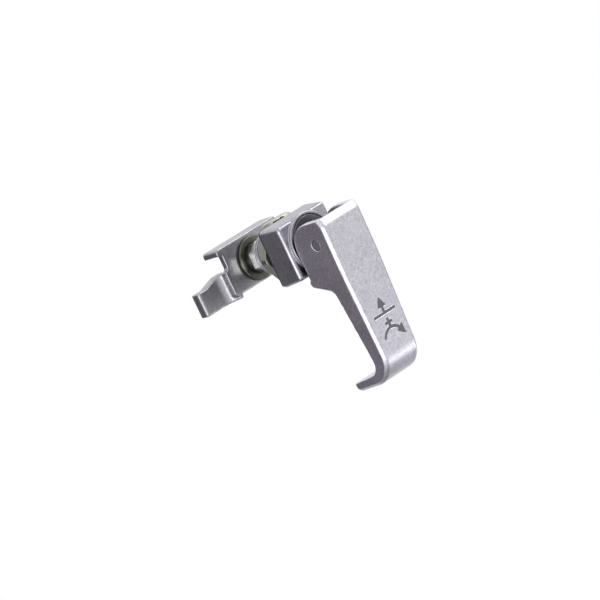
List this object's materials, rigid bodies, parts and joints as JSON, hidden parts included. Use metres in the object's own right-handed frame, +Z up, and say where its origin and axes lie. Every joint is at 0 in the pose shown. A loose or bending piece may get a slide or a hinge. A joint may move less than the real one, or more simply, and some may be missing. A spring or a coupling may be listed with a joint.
{
  "type": "lift and turn latch handle",
  "caption": "Hooked lever handle on a cam-action compression latch: threaded housing barrel with nut, and an offset pawl locked on a threaded shaft.",
  "frame": {"origin": "on the shaft's axis, in the plane of the panel's outer face, which the gasket's rear face seats on", "axes": "+X across the handle, +Y along the shaft into the cabinet, +Z up; the closed handle hangs towards -Z and the pawl's finger points to -X"},
  "size_m": [0.0546, 0.0764, 0.0816],
  "materials": {
    "handle_cast": "satin die-cast, fine grain",
    "housing_cast": "satin die-cast, fine grain",
    "pawl_steel": "satin plated",
    "zinc_plate": "bright zinc plate with a faint yellow-green passivation",
    "shaft_steel": "turned and plated",
    "washer_steel": "hardened, dark",
    "spring_steel": "drawn wire",
    "black_rubber": "matt",
    "acetal": "moulded",
    "legend_paint": "dark paint in the engraving"
  },
  "bodies": {
    "housing": {"housing": "housing_cast", "stop_pin": "shaft_steel", "shaft_seal": "black_rubber", "friction_washer": "acetal", "panel_gasket": "black_rubber", "panel_lock_washer": "zinc_plate", "panel_nut": "zinc_plate"},
    "rotor": {"thrust_washer": "washer_steel", "return_spring": "spring_steel"},
    "shaft": {"shaft": "shaft_steel", "spring_washer": "spring_steel", "retaining_clip": "spring_steel", "pawl_front_nut": "zinc_plate", "pawl_front_lock_washer": "washer_steel", "pawl_washer": "zinc_plate", "pawl": "pawl_steel", "pawl_lock_washer": "washer_steel", "pawl_rear_nut": "zinc_plate"},
    "handle": {"handle": "handle_cast", "pivot_pin": "shaft_steel", "legend": "legend_paint"}
  },
  "joints": [
    {"name": "turn", "type": "hinge", "parent": "housing", "child": "rotor", "pos_m": [0, 0, 0], "axis": [0, 1, 0], "range_deg": [0, 90]},
    {"name": "pull", "type": "slide", "parent": "rotor", "child": "shaft", "axis": [0, 1, 0], "range_m": [0, 0.0029], "deforming": ["return_spring"]},
    {"name": "lift", "type": "hinge", "parent": "shaft", "child": "handle", "pos_m": [0, -0.0274, 0], "axis": [-1, 0, 0], "range_deg": [0, 90]}
  ],
  "couplings": [
    {"joint": "pull", "follows": "lift", "m_per_rad": 0.0018461}
  ]
}
